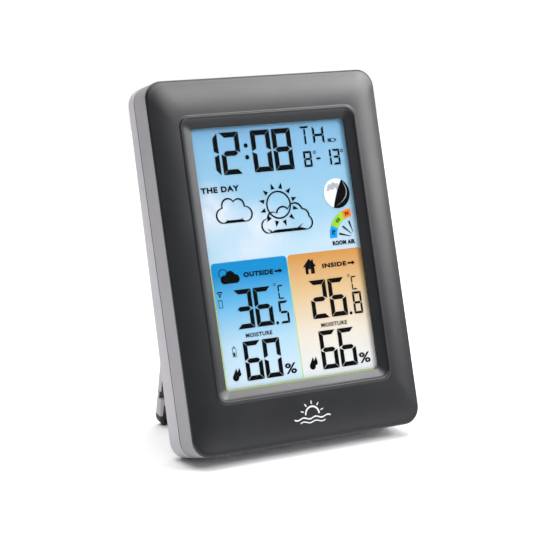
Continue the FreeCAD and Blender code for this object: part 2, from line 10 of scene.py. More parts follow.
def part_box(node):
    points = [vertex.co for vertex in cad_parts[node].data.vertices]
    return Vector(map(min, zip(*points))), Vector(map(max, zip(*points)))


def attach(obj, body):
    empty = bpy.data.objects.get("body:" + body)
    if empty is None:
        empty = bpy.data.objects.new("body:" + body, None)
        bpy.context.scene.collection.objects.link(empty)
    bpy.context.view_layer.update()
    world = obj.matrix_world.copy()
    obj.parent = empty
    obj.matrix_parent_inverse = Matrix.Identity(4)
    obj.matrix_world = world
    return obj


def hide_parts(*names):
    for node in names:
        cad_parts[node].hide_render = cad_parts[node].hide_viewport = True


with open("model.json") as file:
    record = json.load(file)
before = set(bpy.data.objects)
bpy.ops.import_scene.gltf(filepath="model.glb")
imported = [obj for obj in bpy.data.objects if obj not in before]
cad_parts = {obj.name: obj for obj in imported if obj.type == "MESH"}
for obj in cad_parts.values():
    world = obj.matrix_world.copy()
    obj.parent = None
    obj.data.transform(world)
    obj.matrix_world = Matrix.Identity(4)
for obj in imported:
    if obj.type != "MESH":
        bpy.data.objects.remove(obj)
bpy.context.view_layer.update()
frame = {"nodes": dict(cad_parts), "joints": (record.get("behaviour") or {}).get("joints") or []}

# ---- Face and back axes ----
# The unit leans back on its stand.  The light button is pressed straight down the face, and the
# battery door lifts straight off the back, so those two joints give the axes of both surfaces.
joints = {j["name"]: j for j in frame["joints"]}
across = Vector((1, 0, 0))
face_up = -Vector(joints["light_button_press"]["axis"]).normalized()
face_back = -across.cross(face_up)
off_back = Vector(joints["battery_door_lift"]["axis"]).normalized()
MM = 0.001


def reach(node, direction):
    """Furthest that a node's mesh goes along a direction."""
    return max(v.co.dot(direction) for v in frame["nodes"][node].data.vertices)


face_width = 2 * reach("front_bezel", across)
face_height = reach("front_bezel", face_up) + reach("front_bezel", -face_up)
face_bottom = -reach("front_bezel", -face_up)
seat_depth = -reach("front_case", -face_back)
face_middle = face_up * (face_bottom + face_height / 2) + face_back * seat_depth


def on_face(x, y, z):
    """Point in mm: x to the right, y behind the bezel's rear edge, z up from the middle of the face."""
    return face_middle + across * (x * MM) + face_back * (y * MM) + face_up * (z * MM)


def depth_behind_seat(node):
    """Front and back of a node, in mm behind the bezel's rear edge."""
    return (-reach(node, -face_back) - seat_depth) / MM, (reach(node, face_back) - seat_depth) / MM


# ---- Camera ----
# It looks from the left of the face and a little above, through a long lens, so that the left side
# and the window's sloping walls show.
camera_turn = math.radians(-30.1)
camera_rise = math.radians(11.7)
view_forward = -Vector((math.sin(camera_turn) * math.cos(camera_rise),
                        -math.cos(camera_turn) * math.cos(camera_rise), math.sin(camera_rise)))
view_right = view_forward.cross(Vector((0, 0, 1))).normalized()
view_up = view_right.cross(view_forward)
camera_data = bpy.data.cameras.new("camera")
camera_data.sensor_width = 36
camera_data.lens = 124.95
camera = bpy.data.objects.new("camera", camera_data)
bpy.context.scene.collection.objects.link(camera)
camera.location = face_middle - (view_forward * 662.1 + view_right * 6.67 + view_up * 3.25) * MM
camera.rotation_mode = "QUATERNION"
camera.rotation_quaternion = view_forward.to_track_quat("-Z", "Y")
camera_data.clip_start = 0.05
camera_data.clip_end = 20
bpy.context.scene.camera = camera
bpy.context.scene.view_settings.view_transform = "Standard"

# ---- Front bezel ----
# One domed moulding in charcoal satin plastic.  Its outline is a rounded rectangle, and it rises
# to a narrow lip round the window, where the walls slope in to the display.


def tone(red, green, blue):
    """A colour mixed from 0 to 255 as a paint chart gives it, as the shaders take it."""
    return [c / 255 / 12.92 if c <= 10 else ((c / 255 + 0.055) / 1.055) ** 2.4 for c in (red, green, blue)]


def new_material(name):
    made = bpy.data.materials.new(name)
    made.use_nodes = True
    return made, made.node_tree.nodes, made.node_tree.links, made.node_tree.nodes["Principled BSDF"]


def noise(nodes, links, where, scale, detail=2):
    made = nodes.new("ShaderNodeTexNoise")
    made.inputs["Scale"].default_value = scale
    made.inputs["Detail"].default_value = detail
    links.new(where, made.inputs["Vector"])
    return made.outputs["Fac"]


def colour_run(nodes, links, share, stops):
    """Colours at their places along a share from 0 to 1."""
    run = nodes.new("ShaderNodeValToRGB")
    while len(run.color_ramp.elements) < len(stops):
        run.color_ramp.elements.new(0.5)
    for element, (position, colour) in zip(run.color_ramp.elements, stops):
        element.position = position
        element.color = list(colour) + [1]
    links.new(share, run.inputs["Fac"])
    return run


def uneven_gloss(nodes, links, shader, share, least, most):
    gloss = nodes.new("ShaderNodeMapRange")
    gloss.inputs["To Min"].default_value = least
    gloss.inputs["To Max"].default_value = most
    links.new(share, gloss.inputs["Value"])
    links.new(gloss.outputs["Result"], shader.inputs["Roughness"])


def raised(nodes, links, shader, height, strength, distance):
    bump = nodes.new("ShaderNodeBump")
    bump.inputs["Strength"].default_value = strength
    bump.inputs["Distance"].default_value = distance * MM
    links.new(height, bump.inputs["Height"])
    links.new(bump.outputs["Normal"], shader.inputs["Normal"])


def mottled(name, colours, roughness, scale, grain, fine, metallic=0.0):
    """A finish whose colour runs between two shades and whose gloss varies, over a fine grain."""
    made, nodes, links, shader = new_material(name)
    place = nodes.new("ShaderNodeTexCoord").outputs["Object"]
    mottle = noise(nodes, links, place, scale, 4)
    tint = colour_run(nodes, links, mottle, tuple(zip((0.3, 0.7), colours)))
    links.new(tint.outputs["Color"], shader.inputs["Base Color"])
    uneven_gloss(nodes, links, shader, mottle, max(0.02, roughness - 0.05), roughness + 0.05)
    raised(nodes, links, shader, noise(nodes, links, place, fine), 0.25, grain)
    shader.inputs["Metallic"].default_value = metallic
    return made


def moulded_plastic(name, colour, roughness, grain=0.02, metallic=0.0):
    """Moulded plastic: a faint mottled colour and a fine spark-eroded grain."""
    shades = ([c * 0.95 for c in colour], [min(1, c * 1.05) for c in colour])
    return mottled(name, shades, roughness, 60, grain, 9000, metallic)


def dress(name, mesh, material, body, replaced=(), smooth=True):
    """A finished piece: it rides on its body, takes its slot and stands for its CAD nodes."""
    piece = bpy.data.objects.new(name, mesh)
    bpy.context.scene.collection.objects.link(piece)
    mesh.materials.clear()
    mesh.materials.append(material)
    if smooth:
        mesh.shade_smooth()
        mesh.set_sharp_from_angle(angle=math.radians(35))
    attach(piece, body)
    if replaced:
        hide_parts(*replaced)
    return piece


def mesh_piece(name, points, faces, material, body, replaced=(), smooth=True):
    """A finished piece from points in metres."""
    mesh = bpy.data.meshes.new(name)
    mesh.from_pydata([tuple(p) for p in points], [], faces)
    mesh.validate()
    made = bmesh.new()
    made.from_mesh(mesh)
    bmesh.ops.recalc_face_normals(made, faces=made.faces)
    made.to_mesh(mesh)
    made.free()
    return dress(name, mesh, material, body, replaced, smooth)


corner_steps = 14


def rounded_outline(width, height, radius, x=0.0, z=0.0):
    """Places round a rounded rectangle, the same number for every size."""
    outline = []
    for corner in range(4):
        cx = x + (1, -1, -1, 1)[corner] * (width / 2 - radius)
        cz = z + (1, 1, -1, -1)[corner] * (height / 2 - radius)
        for step in range(corner_steps + 1):
            turn = math.pi / 2 * (corner + step / corner_steps)
            outline.append((cx + radius * math.cos(turn), cz + radius * math.sin(turn)))
    return outline


def rounded_ring(width, height, radius, y, z):
    return [on_face(x, y, up) for x, up in rounded_outline(width, height, radius, 0, z)]


def ring_faces(rings, closed):
    """Quads between neighbouring rings, and from the last ring to the first when closed."""
    count = len(rings[0])
    faces = []
    for r in range(len(rings) - (0 if closed else 1)):
        s = (r + 1) % len(rings)
        for i in range(count):
            j = (i + 1) % count
            faces.append((r * count + i, r * count + j, s * count + j, s * count + i))
    return faces


outline_w, outline_h, outline_r = face_width / MM, face_height / MM, 6.5
lip_w, lip_h, lip_r = 71.2, 100.0, 3.8
window_w, window_h, window_r = 63.5, 92.6, 1.3
lip_z = 2.15
window_x, window_z = 0.35, 2.0
side_top = 0.5              # height of the straight side
edge_round = 0.8
lip_front = 2.69
lip_fall = 0.42             # how far the lip's inner edge rounds over
lip_share = 0.985           # share of the way to the lip's outline at which its crest lies
window_front = 1.2
lens_seat = 0.82            # front of the window sheet's rear seat
bezel_rings = []


def bezel_ring(t, inset, height):
    """Ring a share t of the way from the outline to the lip, plus an inset in mm."""
    bezel_rings.append(rounded_ring(
        outline_w + (lip_w - outline_w) * t - 2 * inset, outline_h + (lip_h - outline_h) * t - 2 * inset,
        outline_r + (lip_r - outline_r) * t - inset * (1 - t), -height, lip_z * t))


def slope_ring(t, height):
    """Ring a share t of the way down the sloping walls of the recess."""
    w = lip_w - 0.4 + (window_w - lip_w + 0.4) * t
    h = lip_h - 0.5 + (window_h - lip_h + 0.5) * t
    ring = rounded_ring(w, h, lip_r + (window_r - lip_r) * t, -height, lip_z + (window_z - lip_z) * t)
    bezel_rings.append([p + across * (window_x * t * MM) for p in ring])


lip_bead = 0.28             # how far the lip's narrow bead stands above the end of the dome


def bead(t):
    """Rise of the bead over the last part of the dome."""
    start = 0.95
    return 0.0 if t < start else lip_bead * math.sin(math.pi / 2 * (t - start) / (1 - start)) ** 2


bezel_ring(0, 0.25, 0.02)
bezel_ring(0, 0.0, 0.25)
for i in range(7):
    turn = math.pi / 2 * i / 6
    bezel_ring(0, edge_round * (1 - math.cos(turn)), side_top + edge_round * math.sin(turn) * 0.9)
dome_start = side_top + edge_round * 0.9
for i in range(1, 41):
    t = i / 40
    bezel_ring((0.07 + 0.93 * t) * lip_share, 0,
               dome_start + (lip_front - lip_bead - dome_start) * (1 - (1 - t) ** 2.1) + bead(t))
for i in range(1, 8):
    turn = math.pi * 0.5 * i / 7
    bezel_ring(lip_share + 0.035 * math.sin(turn), 0, lip_front - lip_fall * (1 - math.cos(turn)))
for i in range(1, 9):
    t = i / 8
    slope_ring(t, lip_front - lip_fall + (window_front - lip_front + lip_fall) * (t ** 0.85))
slope_ring(1, lens_seat)
bezel_rings.append(rounded_ring(outline_w - 24, outline_h - 34, 3.0, -lens_seat, 1.5))
bezel_rings.append(rounded_ring(outline_w - 4, outline_h - 4, 5.0, -0.02, 0))
bezel_plastic = moulded_plastic("charcoal satin plastic", tone(23, 24, 28), 0.3, 0.012)
bezel_points = [p for ring in bezel_rings for p in ring]
bezel = mesh_piece("bezel_shell", bezel_points, ring_faces(bezel_rings, True), bezel_plastic,
                   "station", ("front_bezel",))

# ---- Window ----
# A flat clear acrylic sheet, glued into the back of the bezel.  It keeps its CAD shape, and only
# its material is made here.


def clear_sheet(name, colour, alpha, roughness):
    """Clear sheet: nearly all light goes straight through, under a gloss that varies a little."""
    made, nodes, links, shader = new_material(name)
    place = nodes.new("ShaderNodeTexCoord").outputs["Object"]
    uneven_gloss(nodes, links, shader, noise(nodes, links, place, 40), roughness * 0.7, roughness * 1.3)
    shader.inputs["Base Color"].default_value = list(colour) + [1]
    shader.inputs["Alpha"].default_value = alpha
    return made


def finish(material, *names):
    """Give CAD nodes that stay as they are their finished material."""
    for name in names:
        for socket in frame["nodes"][name].material_slots:
            socket.material = material


finish(clear_sheet("clear acrylic", (0.02, 0.022, 0.025), 0.04, 0.06), "window_lens")

# ---- Display cell ----
# Two sheets of thin glass with the liquid crystal between them and a polarising film on each side,
# bonded into one clear slab.  The front glass is taller, and its ledge meets the rubber connector.


def corners(left, right, low, high):
    return [(left, low), (right, low), (right, high), (left, high)]


def add_shapes(points, faces, shapes, front, thick, place=on_face):
    """Flat shapes in mm, each with a front, a back and edges; a pair of outlines makes a ring."""
    for shape in shapes:
        start = len(points)
        if isinstance(shape[0], list):
            outer, inner = shape
            count = len(outer)
            rings = [(outer, front), (inner, front), (inner, front + thick), (outer, front + thick)]
            for outline, depth in rings:
                points += [place(x, depth, z) for x, z in outline]
            faces += [tuple(start + i for i in face) for face in ring_faces([outer] * 4, True)]
            continue
        count = len(shape)
        points += [place(x, front, z) for x, z in shape]
        points += [place(x, front + thick, z) for x, z in shape]
        faces.append(tuple(range(start, start + count)))
        faces.append(tuple(range(start + 2 * count - 1, start + count - 1, -1)))
        for i in range(count):
            j = (i + 1) % count
            faces.append((start + i, start + count + i, start + count + j, start + j))


def flat_piece(name, shapes, front, thick, material, replaced=(), place=on_face):
    points, faces = [], []
    add_shapes(points, faces, shapes, front, thick, place)
    return mesh_piece(name, points, faces, material, "station", replaced, smooth=False)


def face_extent(node):
    """Left, right, low and high sides of a node, in mm from the middle of the face."""
    middle = face_middle.dot(face_up)
    return (-reach(node, -across) / MM, reach(node, across) / MM,
            (-reach(node, -face_up) - middle) / MM, (reach(node, face_up) - middle) / MM)


cell_front = depth_behind_seat("front_polariser")[0]
cell_break = depth_behind_seat("lcd_front_glass")[1]
cell_back = depth_behind_seat("rear_polariser")[1]
glass_left, glass_right, glass_low, glass_high = face_extent("lcd_front_glass")
ledge_low = face_extent("lcd_rear_glass")[3]
cell_profile = [(glass_low, cell_front), (glass_high, cell_front), (glass_high, cell_break),
                (ledge_low, cell_break), (ledge_low, cell_back), (glass_low, cell_back)]
cell_points = [on_face(x, y, z) for x in (glass_left, glass_right) for z, y in cell_profile]
cell_faces = [tuple(range(6)), tuple(range(11, 5, -1))]
cell_faces += [(i, (i + 1) % 6, 6 + (i + 1) % 6, 6 + i) for i in range(6)]
display_glass = clear_sheet("display glass", (0.02, 0.025, 0.025), 0.03, 0.05)
cell_layers = ("front_polariser", "lcd_front_glass", "lcd_rear_glass", "rear_polariser")
mesh_piece("display_cell", cell_points, cell_faces, display_glass, "station", cell_layers,
           smooth=False)

# ---- Printed colour film ----
# Three printed areas seen through the glass: a pale sky with soft clouds above, and below it a blue
# panel for outdoors and an orange one for indoors, each fading downwards.  Thin lime edges part them.
drift_right = view_forward.dot(across) / view_forward.dot(face_back)
drift_up = view_forward.dot(face_up) / view_forward.dot(face_back)
print_front = 0.26
mark_front = 0.20


def under_glass(x, y, z):
    """Point behind the window that is seen at x, z of the window's inner edge, in mm."""
    return on_face(x + drift_right * (y + window_front), y, z + drift_up * (y + window_front))


def measured(nodes, links, where, middle, lean, scale):
    """Places counted from a middle, leaned back about x and divided by a scale."""
    measure = nodes.new("ShaderNodeMapping")
    measure.vector_type = "TEXTURE"
    measure.inputs["Location"].default_value = middle
    measure.inputs["Rotation"].default_value = (lean, 0, 0)
    measure.inputs["Scale"].default_value = scale
    links.new(where, measure.inputs["Vector"])
    return measure.outputs["Vector"]


face_lean = math.atan2(-face_up.y, face_up.z)


def face_measure(nodes, links, depth):
    """Millimetres to the right and up from the middle of the face, for a print at this depth."""
    place = nodes.new("ShaderNodeTexCoord").outputs["Object"]
    return measured(nodes, links, place, under_glass(0, depth, 0), face_lean, (MM, MM, MM))


def share_along(nodes, links, where, low, high):
    """How far up between two heights a place is, from 0 to 1."""
    apart = nodes.new("ShaderNodeSeparateXYZ")
    links.new(where, apart.inputs["Vector"])
    share = nodes.new("ShaderNodeMapRange")
    share.inputs["From Min"].default_value = low
    share.inputs["From Max"].default_value = high
    links.new(apart.outputs["Z"], share.inputs["Value"])
    return share.outputs["Result"]


def printed_fade(name, low, high, stops, clouds=()):
    """Gloss print whose colour fades upwards, with soft round clouds."""
    made, nodes, links, shader = new_material(name)
    where = face_measure(nodes, links, print_front)
    colour = colour_run(nodes, links, share_along(nodes, links, where, low, high), stops).outputs["Color"]
    wisps = noise(nodes, links, where, 0.16, 3)
    for x, z, wide, high_by, strength in clouds:
        centred = measured(nodes, links, where, (x, 0, z), 0, (wide, 40, high_by))
        ball = nodes.new("ShaderNodeTexGradient")
        ball.gradient_type = "SPHERICAL"
        links.new(centred, ball.inputs["Vector"])
        soft = nodes.new("ShaderNodeMath")
        soft.operation = "MULTIPLY"
        soft.inputs[1].default_value = strength * 2
        links.new(ball.outputs["Fac"], soft.inputs[0])
        broken = nodes.new("ShaderNodeMath")
        broken.operation = "MULTIPLY"
        broken.use_clamp = True
        links.new(soft.outputs["Value"], broken.inputs[0])
        links.new(wisps, broken.inputs[1])
        mix = nodes.new("ShaderNodeMix")
        mix.data_type = "RGBA"
        mix.inputs["B"].default_value = tone(214, 221, 232) + [1]
        links.new(broken.outputs["Value"], mix.inputs["Factor"])
        links.new(colour, mix.inputs["A"])
        colour = mix.outputs["Result"]
    links.new(colour, shader.inputs["Base Color"])
    uneven_gloss(nodes, links, shader, noise(nodes, links, where, 6), 0.45, 0.6)
    shader.inputs["Specular IOR Level"].default_value = 0.1
    return made


film_left, film_right, film_low, film_high = face_extent("colour_film")
panel_low, panel_high = -43.9, 0.6
sky_low, sky_high = 0.0, 48.3
sky_fade = [(0.0, tone(176, 207, 226)), (0.35, tone(150, 194, 219)), (1.0, tone(120, 172, 210))]
soft_clouds = [(-28, 17.5, 15, 13, 1.0), (-9, 12, 14, 11, 0.9), (-12, 3, 22, 9, 0.5), (22, 4, 26, 10, 0.35)]
sky_print = printed_fade("sky print", sky_low, sky_high, sky_fade, soft_clouds)
blue_print = printed_fade("outdoor print", panel_low, panel_high,
                          [(0.0, tone(200, 220, 232)), (0.35, tone(172, 206, 226)),
                           (0.65, tone(100, 175, 218)), (0.9, tone(0, 132, 194))])
orange_print = printed_fade("indoor print", panel_low, panel_high,
                            [(0.0, tone(218, 224, 230)), (0.35, tone(222, 214, 200)),
                             (0.72, tone(212, 180, 132)), (1.0, tone(200, 140, 66))])
lime_print = printed_fade("lime print", panel_low, panel_high,
                          [(0.0, tone(196, 224, 130)), (1.0, tone(170, 205, 140))])


def panel_outline(left, right, low, high, radius):
    """A panel with round upper corners."""
    outline = [(left, low), (right, low)]
    for i in range(9):
        turn = math.pi / 2 * i / 8
        outline.append((right - radius + radius * math.cos(turn), high - radius + radius * math.sin(turn)))
    for i in range(9):
        turn = math.pi / 2 * (1 + i / 8)
        outline.append((left + radius + radius * math.cos(turn), high - radius + radius * math.sin(turn)))
    return outline


shift = drift_right * (print_front + window_front)
flat_piece("sky_print", [corners(film_left - shift, film_right - shift, -1.3, film_high)],
           print_front + 0.06, 0.05, sky_print, (), under_glass)
flat_piece("lime_print", [corners(film_left - shift, film_right - shift, film_low, -1.3)],
           print_front + 0.06, 0.05, lime_print, (), under_glass)
flat_piece("outdoor_print", [panel_outline(-31.0, -0.22, panel_low, panel_high, 1.4)],
           print_front, 0.05, blue_print, (), under_glass)
flat_piece("indoor_print", [panel_outline(0.22, 31.6, panel_low, panel_high, 1.4)],
           print_front, 0.05, orange_print, (), under_glass)
film_base = mottled("film base", (tone(150, 190, 225), tone(170, 205, 235)), 0.4, 80, 0.005, 4000)
finish(film_base, "colour_film")

# ---- Display figures and signs ----
# Black segments of the liquid crystal: seven-bar figures with mitred ends, and fixed signs for the
# forecast, the moon, comfort and the two rooms.  They lie in the cell, just in front of the film.
lit_bars = {"0": "abcdef", "1": "bc", "2": "abged", "3": "abgcd", "5": "afgcd", "6": "afgedc",
            "8": "abcdefg", "C": "afed", "H": "bcefg"}


def figure(sign, left, right, low, high, stroke, cut):
    """The lit bars of a seven-bar figure, in mm; cut is half the gap between two bars."""
    mid = (low + high) / 2
    half = stroke / 2
    bars = {
        "a": [(left + cut, high), (right - cut, high), (right - stroke - cut, high - stroke),
              (left + stroke + cut, high - stroke)],
        "d": [(left + cut, low), (right - cut, low), (right - stroke - cut, low + stroke),
              (left + stroke + cut, low + stroke)],
        "g": [(left + half, mid), (left + stroke + cut, mid + half), (right - stroke - cut, mid + half),
              (right - half, mid), (right - stroke - cut, mid - half), (left + stroke + cut, mid - half)]}
    for name, outer, inner in (("f", left, left + stroke), ("b", right, right - stroke)):
        bars[name] = [(outer, high - cut), (inner, high - stroke - cut), (inner, mid + half + cut),
                      (outer, mid + cut * 1.5)]
    for name, outer, inner in (("e", left, left + stroke), ("c", right, right - stroke)):
        bars[name] = [(outer, low + cut), (inner, low + stroke + cut), (inner, mid - half - cut),
                      (outer, mid - cut * 1.5)]
    return [bars[name] for name in lit_bars[sign]]


def round_spot(x, z, radius, steps=28, start=0.0, end=2 * math.pi):
    full = end - start > 6.28
    count = steps if full else steps + 1
    turns = [start + (end - start) * i / steps for i in range(count)]
    return [(x + radius * math.cos(t), z + radius * math.sin(t)) for t in turns]


def hoop(x, z, radius, line):
    return round_spot(x, z, radius, 56), round_spot(x, z, radius - line, 56)


def stroke_line(start, end, wide, wide_end=None):
    """A straight stroke between two points, tapered when its end has another width."""
    wide_end = wide if wide_end is None else wide_end
    along = Vector((end[0] - start[0], end[1] - start[1])).normalized()
    side = Vector((-along.y, along.x))
    return [(start[0] + side.x * wide / 2, start[1] + side.y * wide / 2),
            (start[0] - side.x * wide / 2, start[1] - side.y * wide / 2),
            (end[0] - side.x * wide_end / 2, end[1] - side.y * wide_end / 2),
            (end[0] + side.x * wide_end / 2, end[1] + side.y * wide_end / 2)]


def cloud_line(middle, lobes, flat, line, flat_line):
    """Outline of a cloud made of round lobes on a flat base, and the same outline inside it."""
    outer, inner = [], []
    steps = 160
    for i in range(steps):
        turn = 2 * math.pi * i / steps
        ray = Vector((math.cos(turn), math.sin(turn)))
        far = 0.0
        for x, z, radius in lobes:
            towards = Vector((x - middle[0], z - middle[1]))
            along = towards.dot(ray)
            off = towards.length_squared - along * along
            if off < radius * radius:
                far = max(far, along + math.sqrt(radius * radius - off))
        wide = line
        base = (flat - middle[1]) / ray.y if ray.y < 0 else 0.0
        on_base = min(x for x, z, r in lobes) < middle[0] + ray.x * base < max(x for x, z, r in lobes)
        if ray.y < 0 and (far > base or on_base):
            far = base
            wide = flat_line / max(0.45, -ray.y)
        outer.append((middle[0] + ray.x * far, middle[1] + ray.y * far))
        inner.append((middle[0] + ray.x * (far - wide), middle[1] + ray.y * (far - wide)))
    return outer, inner


def drop(x, z, radius, tall, lean):
    """A falling drop: round below, drawn to a point above."""
    outline = round_spot(x, z, radius, 18, math.radians(160), math.radians(380))
    return outline + [(x + lean, z + tall)]


def arrow(left, right, z):
    return [(left, z - 0.32), (right - 1.2, z - 0.32), (right - 1.2, z - 0.85), (right, z),
            (right - 1.2, z + 0.85), (right - 1.2, z + 0.32), (left, z + 0.32)]


def frame_line(left, right, low, high, line):
    return corners(left, right, low, high), corners(left + line, right - line, low + line, high - line)


def add_label(points, faces, words, left, right, low, high, weight, lift=0.0, turn=0.0):
    """A plain word set between two sides, in mm, as thin solid letters, turned about its middle."""
    text = bpy.data.curves.new("label", "FONT")
    text.body = words
    text.offset = weight
    text.space_character = 1.12
    text.extrude = 0.5
    text.resolution_u = 3
    holder = bpy.data.objects.new("label", text)
    letters = bpy.data.meshes.new_from_object(holder)
    start = len(points)
    xs = [v.co.x for v in letters.vertices]
    zs = [v.co.y for v in letters.vertices]
    for v in letters.vertices:
        x = left + (right - left) * (v.co.x - min(xs)) / (max(xs) - min(xs))
        z = low + (high - low) * (v.co.y - min(zs)) / (max(zs) - min(zs))
        off_x, off_z = x - (left + right) / 2, z - (low + high) / 2
        x = (left + right) / 2 + off_x * math.cos(turn) - off_z * math.sin(turn)
        z = (low + high) / 2 + off_x * math.sin(turn) + off_z * math.cos(turn)
        points.append(under_glass(x, mark_front - lift + 0.03 * (0.5 - v.co.z), z))
    faces += [tuple(start + i for i in face.vertices) for face in letters.polygons]
    bpy.data.objects.remove(holder)
    bpy.data.meshes.remove(letters)


def ink(name, colour, roughness=0.5):
    """Display ink: one colour with a faint unevenness."""
    made = mottled(name, ([c * 0.9 for c in colour], [min(1, c * 1.1) for c in colour]),
                   roughness, 400, 0.001, 12000)
    made.node_tree.nodes["Principled BSDF"].inputs["Specular IOR Level"].default_value = 0.02
    return made


black_ink = ink("black crystal", tone(4, 4, 5))
white_ink = ink("white print", tone(232, 234, 238))
grey_ink = ink("grey print", tone(176, 182, 190))


def mark_piece(name, shapes, labels=(), material=black_ink, lift=0.0):
    points, faces = [], []
    add_shapes(points, faces, shapes, mark_front - lift, 0.03, under_glass)
    for words, left, right, low, high, weight in labels:
        add_label(points, faces, words, left, right, low, high, weight)
    return mesh_piece(name, points, faces, material, "station", (), smooth=False)


def figure_row(places, low, high, stroke, cut):
    """Figures of one height, each given with its left and right side."""
    bars = []
    for sign, left, right in places:
        bars += figure(sign, left, right, low, high, stroke, cut)
    return bars


time_cut, room_cut, small_cut = 0.11, 0.1, 0.07
time_stroke, room_stroke, tenth_stroke = 1.8, 1.65, 0.85
clock_row, heat_row, damp_row = (31.3, 46.4), (-23.4, -9.5), (-41.8, -27.9)
tenth_row, unit_row, word_row, sign_row = (-23.4, -15.3), (-14.6, -9.6), (-26.65, -25.15), (-41.5, -37.6)
clock = figure_row([("1", -31.0, -21.6), ("2", -20.6, -12.9), ("0", -8.0, -0.2), ("8", 0.7, 8.5)],
                   *clock_row, time_stroke, time_cut)
clock += [round_spot(-10.4, 41.2, 0.8), round_spot(-10.4, 37.0, 0.8)]
mark_piece("clock_figures", clock)
day = [[(12.6, 46.5), (16.6, 46.5), (15.9, 45.8), (13.2, 45.8)], corners(14.2, 14.9, 43.4, 45.5),
       corners(14.2, 14.9, 40.0, 43.1)]
day += figure("H", 17.9, 22.6, 39.8, 46.2, 0.85, small_cut)
day += [frame_line(24.0, 27.0, 40.1, 41.4, 0.16), corners(27.0, 27.5, 40.45, 41.05),
        [(24.3, 40.4), (25.6, 40.4), (25.2, 41.1), (24.3, 41.1)]]
day += figure("8", 12.8, 16.2, 31.6, 37.4, 0.78, small_cut)
day += [corners(18.1, 19.9, 34.1, 34.75), corners(23.8, 24.55, 31.7, 34.3),
        corners(23.8, 24.55, 34.7, 37.3)]
day += figure("3", 25.0, 28.2, 31.6, 37.4, 0.78, small_cut)
day += [hoop(17.6, 36.8, 0.6, 0.25), hoop(29.2, 36.6, 0.6, 0.25)]
mark_piece("date_figures", day)

lone_lobes = [(-23.4, 17.0, 2.8), (-20.8, 20.4, 2.8), (-16.6, 20.3, 2.5), (-14.1, 17.0, 2.8)]
sunny_lobes = [(-5.9, 11.8, 2.7), (-3.4, 14.4, 2.4), (1.0, 15.6, 2.9), (6.2, 16.2, 3.2), (9.4, 14.4, 2.5),
               (10.3, 11.8, 2.7)]
sun_middle = Vector((-0.3, 19.0))
forecast = [cloud_line((-19, 17.5), lone_lobes, 14.2, 0.6, 1.0)]
forecast.append(cloud_line((2.5, 12.6), sunny_lobes, 9.1, 0.62, 1.05))
forecast.append(hoop(sun_middle.x, sun_middle.y, 5.1, 0.55))
forecast += [stroke_line(start, end, wide, 0.1) for start, end, wide in (
    ((-17.2, 14.6), (-15.5, 15.6), 0.6), ((-21.0, 14.6), (-22.0, 15.5), 0.5),
    ((6.0, 9.6), (8.7, 11.6), 0.7), ((-4.6, 9.6), (-6.0, 10.7), 0.6))]
for i in range(12):
    turn = math.radians(15 + 30 * i)
    ray, side = Vector((math.cos(turn), math.sin(turn))), Vector((-math.sin(turn), math.cos(turn)))
    foot_of_ray = sun_middle + ray * 5.95
    forecast.append([tuple(sun_middle + ray * 8.1), tuple(foot_of_ray + side * 0.8),
                     tuple(foot_of_ray - side * 0.8)])
mark_piece("forecast_signs", forecast, [("THE DAY", -30.8, -15.4, 25.3, 27.4, 0.04)])

moon_x, moon_z, moon_r = 24.6, 21.1, 5.5
mark_piece("moon_disc", [round_spot(moon_x, moon_z, moon_r, 64)], (), white_ink, 0.0)
maria = [round_spot(22.0, 23.6, 1.1), round_spot(23.6, 24.4, 0.8), round_spot(24.9, 23.9, 1.0),
         round_spot(21.0, 22.6, 0.55), round_spot(25.2, 22.5, 0.5), round_spot(23.2, 23.1, 0.6)]
mark_piece("moon_maria", maria, (), grey_ink, 0.031)
dark_side = round_spot(moon_x, moon_z, moon_r, 40, math.radians(-112), math.radians(62))
edge_top, edge_low = Vector(dark_side[-1]), Vector(dark_side[0])
for i in range(1, 12):
    t = i / 12
    bulge = 0.35 * math.sin(math.pi * t)
    along = edge_top.lerp(edge_low, t)
    dark_side.append((along.x - bulge, along.y + bulge * 0.3))
mark_piece("moon_shade", [dark_side], (), black_ink, 0.062)
crescent = []
for side in (0.0, 0.32):
    arc = [(edge_top.lerp(edge_low, i / 24).x + (3.6 - side) * math.sin(math.pi * (i / 24) ** 0.9),
            edge_top.lerp(edge_low, i / 24).y - 1.2 * math.sin(math.pi * i / 24)) for i in range(1, 24)]
    crescent += arc if side == 0.0 else arc[::-1]
mark_piece("moon_crescent", [crescent], (), grey_ink, 0.093)

gauge_x, gauge_z = 29.4, 5.0
for name, colour, start, end in (("comfort_wet", tone(20, 150, 225), 153, 180),
                                 ("comfort_good", tone(150, 205, 55), 114, 153),
                                 ("comfort_dry", tone(245, 130, 30), 90, 114)):
    outer = round_spot(gauge_x, gauge_z, 10.1, 14, math.radians(start), math.radians(end))
    inner = round_spot(gauge_x, gauge_z, 7.1, 14, math.radians(start), math.radians(end))
    mark_piece(name, [outer + inner[::-1]], (), ink(name, colour), 0.0)
needles = [stroke_line(broad, tip, 0.75, 0.15) for broad, tip in (
    ((23.3, 6.3), (28.2, 5.0)), ((25.2, 8.9), (28.7, 5.8)), ((28.1, 10.6), (29.3, 6.4)))]
scale_points, scale_faces = [], []
for words, angle, wide in (("70", 166.5, 1.9), ("50", 133.5, 1.9), ("30", 102.0, 1.9)):
    turn = math.radians(angle)
    x, z = gauge_x + 8.6 * math.cos(turn), gauge_z + 8.6 * math.sin(turn)
    add_label(scale_points, scale_faces, words, x - wide / 2, x + wide / 2, z - 0.7, z + 0.7, 0.05, 0.031,
              turn - math.pi / 2)
mesh_piece("comfort_scale", scale_points, scale_faces, black_ink, "station", (),
           smooth=False)
mark_piece("comfort_needles", needles, [("ROOM AIR", 20.0, 29.6, 2.2, 3.85, 0.05)])

